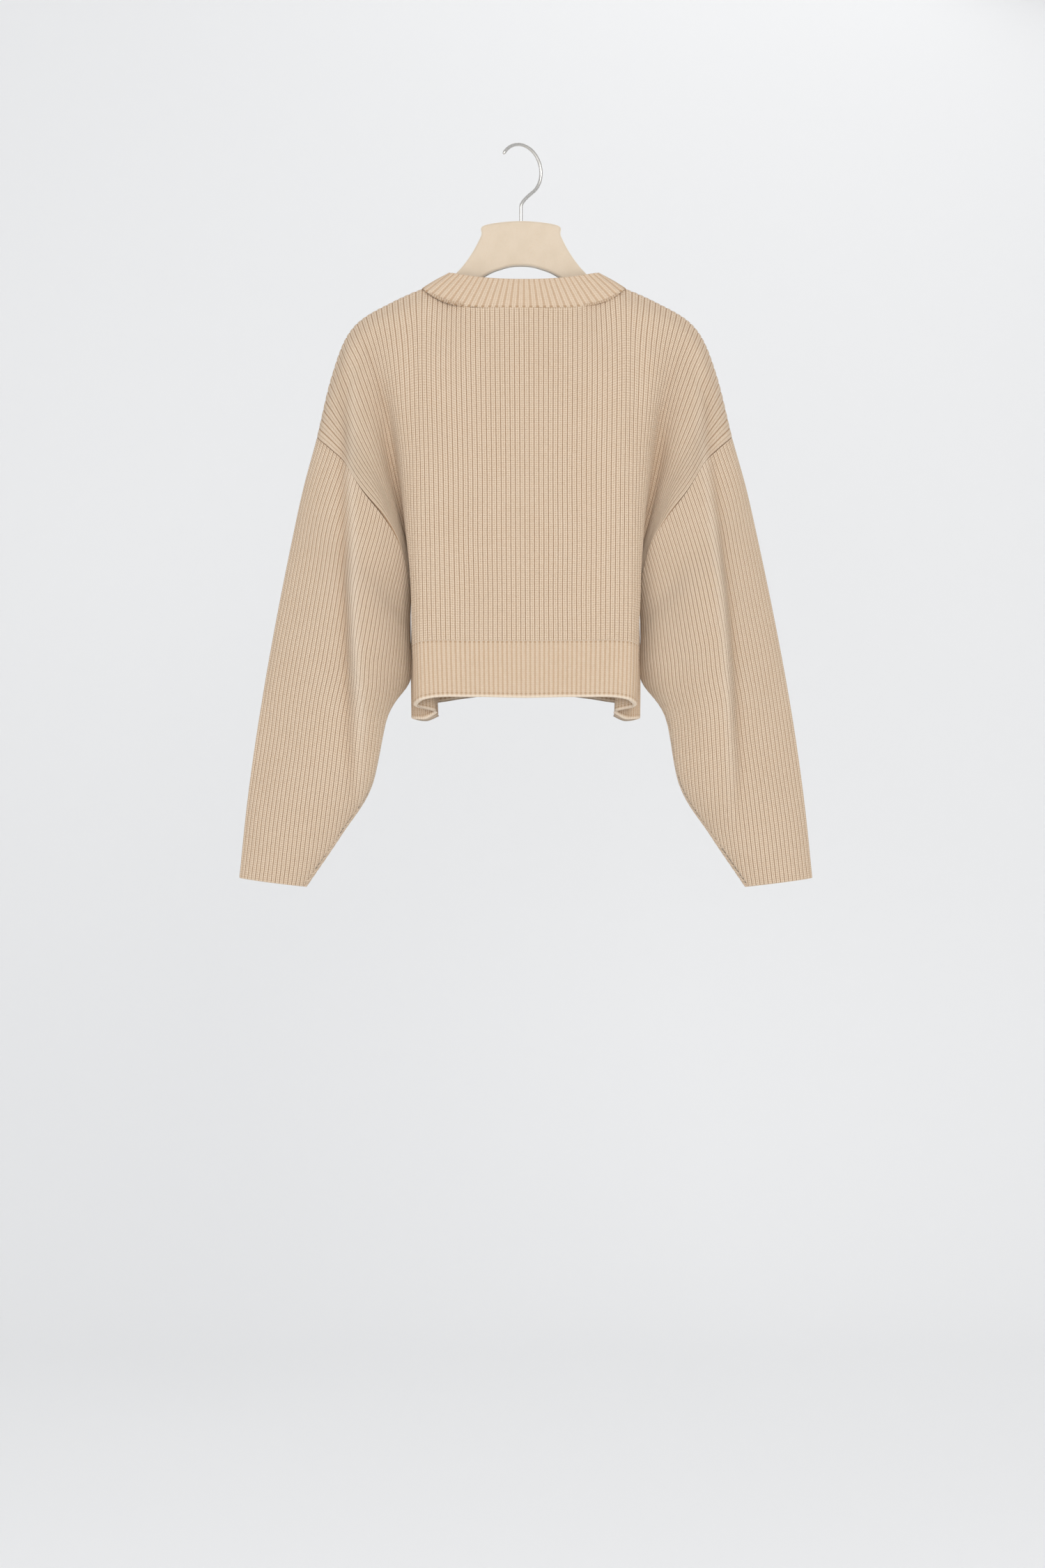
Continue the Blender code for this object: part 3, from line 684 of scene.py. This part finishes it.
def build_board(finish):
    outline = board_outline()
    count = len(outline)
    deep = BOARD_THICK / 2
    points = [(x * MM, y * MM, z * MM) for y in (-deep, deep) for x, z in outline]
    faces = [tuple(range(count)), tuple(range(2 * count - 1, count - 1, -1))]
    faces += [(k, k + count, (k + 1) % count + count, (k + 1) % count) for k in range(count)]
    mesh = bpy.data.meshes.new("board")
    mesh.from_pydata(points, [], faces)
    turn_outwards(mesh)
    mesh.materials.append(finish)
    board = bpy.data.objects.new("board", mesh)
    bpy.context.scene.collection.objects.link(board)
    softened = board.modifiers.new("edges", "BEVEL")
    softened.width = BOARD_EDGE * MM
    softened.segments = 4
    softened.limit_method = "ANGLE"
    softened.angle_limit = math.radians(50)
    mesh.shade_smooth()
    mesh.set_sharp_from_angle(angle=math.radians(40))
    return board


def build_hook(finish):
    middle = WIRE / 2 - HOOK_BEND
    turns = np.linspace(HOOK_TIP, HOOK_OFF, 73)
    path = [(HOOK_BEND * math.cos(turn), middle + HOOK_BEND * math.sin(turn)) for turn in turns]
    leave, arrive = np.array(path[-1]), np.array([0.0, STEM_TOP])
    heading = HOOK_NECK * np.array([math.sin(HOOK_OFF), -math.cos(HOOK_OFF)])
    neck = smooth([0, 1], [leave, arrive], np.linspace(0, 1, 25)[1:], first=heading, last=(0, -HOOK_NECK))
    path += [tuple(point) for point in neck] + [(0.0, STEM_FOOT)]
    spots = [(a * math.cos(HOOK_TURN), a * math.sin(HOOK_TURN), z) for a, z in path]
    curve = bpy.data.curves.new("hook", "CURVE")
    curve.dimensions = "3D"
    curve.bevel_depth = MM * WIRE / 2
    curve.bevel_resolution = 6
    curve.use_fill_caps = True
    strand = curve.splines.new("POLY")
    strand.points.add(len(spots) - 1)
    for k, (point, spot) in enumerate(zip(strand.points, spots)):
        point.co = (*(MM * value for value in spot), 1)
        point.radius = HOOK_END_ROUND[k] if k < len(HOOK_END_ROUND) else 1.0
    curve.materials.append(finish)
    hook = bpy.data.objects.new("hook", curve)
    bpy.context.scene.collection.objects.link(hook)
    return hook


# ---------------------------------------------------------------- materials
def nodes_of(name):
    material = bpy.data.materials.new(name)
    material.use_nodes = True
    return material, material.node_tree.nodes, material.node_tree.links


class Graph:
    """Short calls for building a node tree."""

    def __init__(self, name):
        self.material, self.nodes, self.links = nodes_of(name)
        self.shader = self.nodes["Principled BSDF"]

    def add(self, kind, inputs=None, **settings):
        node = self.nodes.new(kind)
        for key, value in settings.items():
            setattr(node, key, value)
        for key, value in (inputs or {}).items():
            self.put(node.inputs[key], value)
        return node

    def put(self, socket, value):
        if isinstance(value, bpy.types.NodeSocket):
            self.links.new(value, socket)
        else:
            socket.default_value = value

    def math(self, operation, a, b=None, c=None):
        node = self.add("ShaderNodeMath", operation=operation)
        for socket, value in zip(node.inputs, (a, b, c)):
            if value is not None:
                self.put(socket, value)
        return node.outputs[0]

    def ramp(self, value, low, high, to_low=0.0, to_high=1.0):
        node = self.add("ShaderNodeMapRange", interpolation_type="SMOOTHSTEP")
        keys = ("Value", "From Min", "From Max", "To Min", "To Max")
        for key, given in zip(keys, (value, low, high, to_low, to_high)):
            self.put(node.inputs[key], given)
        return node.outputs[0]

    def mix(self, share, first, second):
        node = self.add("ShaderNodeMix", data_type="RGBA")
        self.put(node.inputs["Factor"], share)
        self.put(node.inputs[6], first)
        self.put(node.inputs[7], second)
        return node.outputs[2]

    def noise(self, vector, scale, detail=2.0):
        node = self.add("ShaderNodeTexNoise", {"Scale": scale, "Detail": detail})
        if vector is not None:
            self.put(node.inputs["Vector"], vector)
        return node.outputs[0]


PALE_YARN = (0.704, 0.580, 0.449, 1)
LIGHT_YARN = (0.644, 0.504, 0.370, 1)
# warm tone of the yarn's patches, and the painted shade in the smooth rib's cavities
WARM_TONE_AND_SHADE_YARN = (0.603, 0.453, 0.316, 1)
# painted shade in the knit's holes and between its stitches
HOLE_SHADE_YARN = (0.440, 0.290, 0.172, 1)
# painted shade: the colour of the rib grooves, of the valley and of the long folds' shaded sides
PAINTED_SHADE_YARN = (0.400, 0.240, 0.130, 1)
# pale colour of the pieces' end rows, and the painted highlight on the long folds' crowns
RIM_AND_HIGHLIGHT_YARN = (0.735, 0.630, 0.510, 1)


def knit_material(name, smooth_rib, rimmed=True):
    """Rib knit from the stitch map: u counts ribs, v counts courses. A rimmed piece ends in a pale edge."""
    g = Graph(name)
    parts = g.add("ShaderNodeSeparateXYZ", {0: g.add("ShaderNodeUVMap", uv_map="stitches").outputs[0]})
    edges = g.add("ShaderNodeSeparateXYZ", {0: g.add("ShaderNodeUVMap", uv_map="edges").outputs[0]})
    place = g.add("ShaderNodeTexCoord").outputs["Object"]
    wale, course = parts.outputs[0], parts.outputs[1]
    to_end, to_start = edges.outputs[0], edges.outputs[1]
    marks = g.add("ShaderNodeSeparateXYZ", {0: g.add("ShaderNodeUVMap", uv_map="shade").outputs[0]})
    shade, light = marks.outputs[0], marks.outputs[1]
    wander = g.math("MULTIPLY", g.math("SUBTRACT", g.noise(place, 240.0, 2.0), 0.5), 0.06)
    across = g.math("ABSOLUTE", g.math("SUBTRACT", g.math("FRACT", g.math("ADD", wale, wander)), 0.5))
    slant = g.math("MULTIPLY", across, 0.7 if smooth_rib else 0.2)
    tilt = g.math("MULTIPLY", g.math("SUBTRACT", g.noise(place, 150.0, 1.0), 0.5), 0.2)
    phase = g.math("ADD", g.math("ADD", course, slant), tilt)
    beads = g.math("ABSOLUTE", g.math("SINE", g.math("MULTIPLY", phase, math.pi)))
    between = g.ramp(beads, 0.15, 0.75, 1.0, 0.0)
    if smooth_rib:
        groove = g.ramp(across, 0.24, 0.32) if rimmed else g.ramp(across, 0.28, 0.36)
        middle = g.ramp(across, 0.01, 0.10, 0.85, 0.0)
        cavity = g.math("MAXIMUM", middle, g.math("MULTIPLY", between, 0.6))
        relief = g.math("SUBTRACT", g.math("MULTIPLY", beads, 0.55), g.math("MULTIPLY", middle, 0.8))
        groove_share, groove_drop = 0.48, 0.3
        start_dots = g.math("MULTIPLY", g.ramp(to_start, 1.6, 2.6, 1.0, 0.0), g.ramp(across, 0.2, 0.36))
        end_dots = g.ramp(g.math("ABSOLUTE", g.math("SUBTRACT", to_end, 4.6)), 0.5, 1.0, 1.0, 0.0)
        end_dots = g.math("MULTIPLY", end_dots, g.ramp(across, 0.12, 0.34, 0.15, 1.0))
        dots = g.math("MAXIMUM", g.math("MULTIPLY", start_dots, 0.75), g.math("MULTIPLY", end_dots, 0.55))
        rim = g.ramp(to_end, 2.0, 3.0, 0.85, 0.0)
        if not rimmed:
            dots = g.math("MULTIPLY", start_dots, 0.9)
            rim = g.ramp(to_end, 0.4, 0.8, 0.3, 0.0)
    else:
        groove = g.ramp(across, 0.40, 0.455)
        middle = g.ramp(across, 0.03, 0.11, 1.0, 0.0)
        holes = g.math("MULTIPLY", middle, g.math("ADD", g.math("MULTIPLY", between, 0.65), 0.35))
        cavity = g.math("MAXIMUM", holes, g.math("MULTIPLY", between, 0.26))
        relief = g.math("SUBTRACT", g.math("MULTIPLY", beads, 0.55), cavity)
        groove_share, groove_drop = 0.72, 0.6
        dots = g.math("MULTIPLY", g.ramp(to_start, 0.8, 1.8, 0.6, 0.0), groove)
        rim = g.ramp(to_end, 0.5, 0.9, 0.7, 0.0)
    patch = g.ramp(g.noise(place, 24.0, 3.0), 0.3, 0.7)
    fibre = g.noise(place, 2400.0, 3.0)
    streak = g.ramp(g.noise(place, 420.0, 2.0), 0.3, 0.75)
    yarn = g.mix(g.math("MULTIPLY", patch, 0.35), LIGHT_YARN, WARM_TONE_AND_SHADE_YARN)
    yarn = g.mix(g.math("MULTIPLY", streak, 0.55), yarn, PALE_YARN)
    yarn = g.mix(g.ramp(fibre, 0.35, 0.75, 0.0, 0.35), yarn, PALE_YARN)
    # painted shade in the stitches' cavities: holes, rib middles and the gaps between beads
    shaded = g.mix(cavity, yarn, WARM_TONE_AND_SHADE_YARN if smooth_rib else HOLE_SHADE_YARN)
    # painted shade in the rib grooves, on top of their real depth
    shaded = g.mix(g.math("MULTIPLY", groove, groove_share), shaded, PAINTED_SHADE_YARN)
    # painted shade in the holes of the rows near a piece's ends
    shaded = g.mix(dots, shaded, HOLE_SHADE_YARN)
    # painted shade: darker yarn in the valley and on the shaded side of the long folds
    shaded = g.mix(g.math("MULTIPLY", shade, 0.32), shaded, PAINTED_SHADE_YARN)
    # painted highlight: paler yarn on the long folds' crowns
    shaded = g.mix(g.math("MULTIPLY", light, 0.42), shaded, RIM_AND_HIGHLIGHT_YARN)
    final = g.mix(g.math("MULTIPLY", rim, 0.85), shaded, RIM_AND_HIGHLIGHT_YARN)
    g.put(g.shader.inputs["Base Color"], final)
    g.shader.inputs["Roughness"].default_value = 0.92
    g.shader.inputs["Specular IOR Level"].default_value = 0.2
    g.shader.inputs["Sheen Weight"].default_value = 0.18
    g.shader.inputs["Sheen Roughness"].default_value = 0.5
    g.shader.inputs["Sheen Tint"].default_value = (1.0, 0.90, 0.78, 1)
    plain = g.math("SUBTRACT", 1.0, rim)
    relief = g.math("SUBTRACT", relief, g.math("MULTIPLY", groove, groove_drop))
    relief = g.math("MULTIPLY", g.math("SUBTRACT", relief, dots), plain)
    relief = g.math("ADD", relief, g.math("MULTIPLY", fibre, 0.30))
    bump = g.add("ShaderNodeBump", {"Strength": 0.75, "Distance": 0.0006, "Height": relief})
    g.put(g.shader.inputs["Normal"], bump.outputs[0])
    return g.material


def board_material():
    g = Graph("pale fibreboard")
    place = g.add("ShaderNodeTexCoord").outputs["Object"]
    cloud = g.noise(place, 60.0, 3.0)
    speck = g.noise(place, 900.0, 2.0)
    base = g.mix(g.ramp(cloud, 0.35, 0.7, 0.0, 0.5), (0.625, 0.52, 0.40, 1), (0.575, 0.472, 0.352, 1))
    final = g.mix(g.ramp(speck, 0.56, 0.72, 0.0, 0.45), base, (0.60, 0.46, 0.31, 1))
    # painted light: the board's edges, whose normals turn away from y, are made paler to offset the shade on
    # them
    facing = g.add("ShaderNodeSeparateXYZ", {0: g.add("ShaderNodeNewGeometry").outputs["Normal"]}).outputs[1]
    painted_edge_light = g.ramp(g.math("ABSOLUTE", facing), 0.35, 0.85, 0.85, 0.0)
    final = g.mix(painted_edge_light, final, (0.95, 0.90, 0.80, 1))
    g.put(g.shader.inputs["Base Color"], final)
    g.shader.inputs["Roughness"].default_value = 0.7
    g.shader.inputs["Specular IOR Level"].default_value = 0.3
    bump = g.add("ShaderNodeBump", {"Strength": 0.25, "Distance": 0.0003, "Height": speck})
    g.put(g.shader.inputs["Normal"], bump.outputs[0])
    return g.material


def wire_material():
    g = Graph("satin nickel")
    place = g.add("ShaderNodeTexCoord").outputs["Object"]
    streak = g.noise(place, 700.0, 2.0)
    g.shader.inputs["Base Color"].default_value = (0.66, 0.64, 0.60, 1)
    g.shader.inputs["Metallic"].default_value = 1.0
    g.put(g.shader.inputs["Roughness"], g.ramp(streak, 0.3, 0.7, 0.22, 0.38))
    bump = g.add("ShaderNodeBump", {"Strength": 0.15, "Distance": 0.0002, "Height": streak})
    g.put(g.shader.inputs["Normal"], bump.outputs[0])
    return g.material


def plain_material(name, colour):
    g = Graph(name)
    g.shader.inputs["Base Color"].default_value = (*colour, 1)
    g.shader.inputs["Roughness"].default_value = 0.9
    return g.material


# ---------------------------------------------------------------- the stage
EYE = Vector((0.0018, -3.2, -0.732))
LENS = 64.0


def build_stage():
    floor_z, back_y, bend = -1.75, 2.7, 0.9
    profile = [(-5.0, floor_z), (back_y - bend, floor_z)]
    profile += [
        (back_y - bend + bend * math.sin(a), floor_z + bend - bend * math.cos(a))
        for a in np.linspace(0, math.pi / 2, 13)[1:]
    ]
    profile.append((back_y, 3.5))
    points = [(x, y, z) for y, z in profile for x in (-7.0, 7.0)]
    faces = [(2 * k, 2 * k + 1, 2 * k + 3, 2 * k + 2) for k in range(len(profile) - 1)]
    mesh = bpy.data.meshes.new("floor")
    mesh.from_pydata(points, [], faces)
    mesh.shade_smooth()
    mesh.materials.append(plain_material("pale paint", (0.91, 0.91, 0.905)))
    floor = bpy.data.objects.new("floor", mesh)
    bpy.context.scene.collection.objects.link(floor)


def area_light(name, place, aim, size, power, colour=(1, 1, 1)):
    lamp = bpy.data.lights.new(name, "AREA")
    lamp.shape = "RECTANGLE"
    lamp.size, lamp.size_y = size
    lamp.energy = power
    lamp.color = colour
    made = bpy.data.objects.new(name, lamp)
    made.location = place
    made.rotation_euler = (Vector(aim) - Vector(place)).to_track_quat("-Z", "Y").to_euler()
    bpy.context.scene.collection.objects.link(made)


def build_lights():
    middle = (0.0, 0.0, -0.5)
    area_light("key", (1.1, -3.4, 0.9), middle, (2.0, 2.0), 52.0, (1.0, 0.985, 0.965))
    area_light("fill", (-2.6, -2.6, 0.1), middle, (2.6, 2.6), 22.0, (0.97, 0.985, 1.0))
    area_light("front", (-0.1, -3.6, -0.5), middle, (1.2, 1.2), 14.0)
    area_light("back", (0.6, 2.2, 1.6), middle, (2.2, 1.6), 12.0)
    area_light("low", (0.2, -2.2, -1.7), middle, (1.6, 1.6), 6.0)
    bpy.context.scene.view_settings.view_transform = "Standard"
    world = bpy.data.worlds.new("soft room")
    world.use_nodes = True
    world.node_tree.nodes["Background"].inputs[0].default_value = (0.95, 0.965, 1.0, 1)
    world.node_tree.nodes["Background"].inputs[1].default_value = 0.65
    bpy.context.scene.world = world


def build_camera():
    lens = bpy.data.cameras.new("eye")
    lens.sensor_fit = "AUTO"
    lens.sensor_width = 36.0
    lens.lens = LENS
    eye = bpy.data.objects.new("eye", lens)
    eye.location = EYE
    eye.rotation_euler = (math.radians(90), 0, 0)
    bpy.context.scene.collection.objects.link(eye)
    bpy.context.scene.camera = eye


# ---------------------------------------------------------------- everything together
def main():
    build_camera()
    build_lights()
    build_stage()
    knit = knit_material("oat rib knit", False)
    hem_knit = knit_material("oat rib knit, smooth", True)
    cloth = build_panels(knit, hem_knit)
    cloth["right_sleeve"] = build_sleeve(-1, "right_sleeve", knit)
    cloth["left_sleeve"] = build_sleeve(1, "left_sleeve", knit)
    cloth["neckband"] = build_neckband(knit_material("oat rib knit, neckband", True, False))
    for node, piece in cloth.items():
        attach(piece, "root")
        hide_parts(node)
    board = build_board(board_material())
    hook = build_hook(wire_material())
    for piece, node, slot in ((board, "hanger_board", "board"), (hook, "hanger_hook", "wire")):
        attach(piece, "root")
        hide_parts(node)


main()
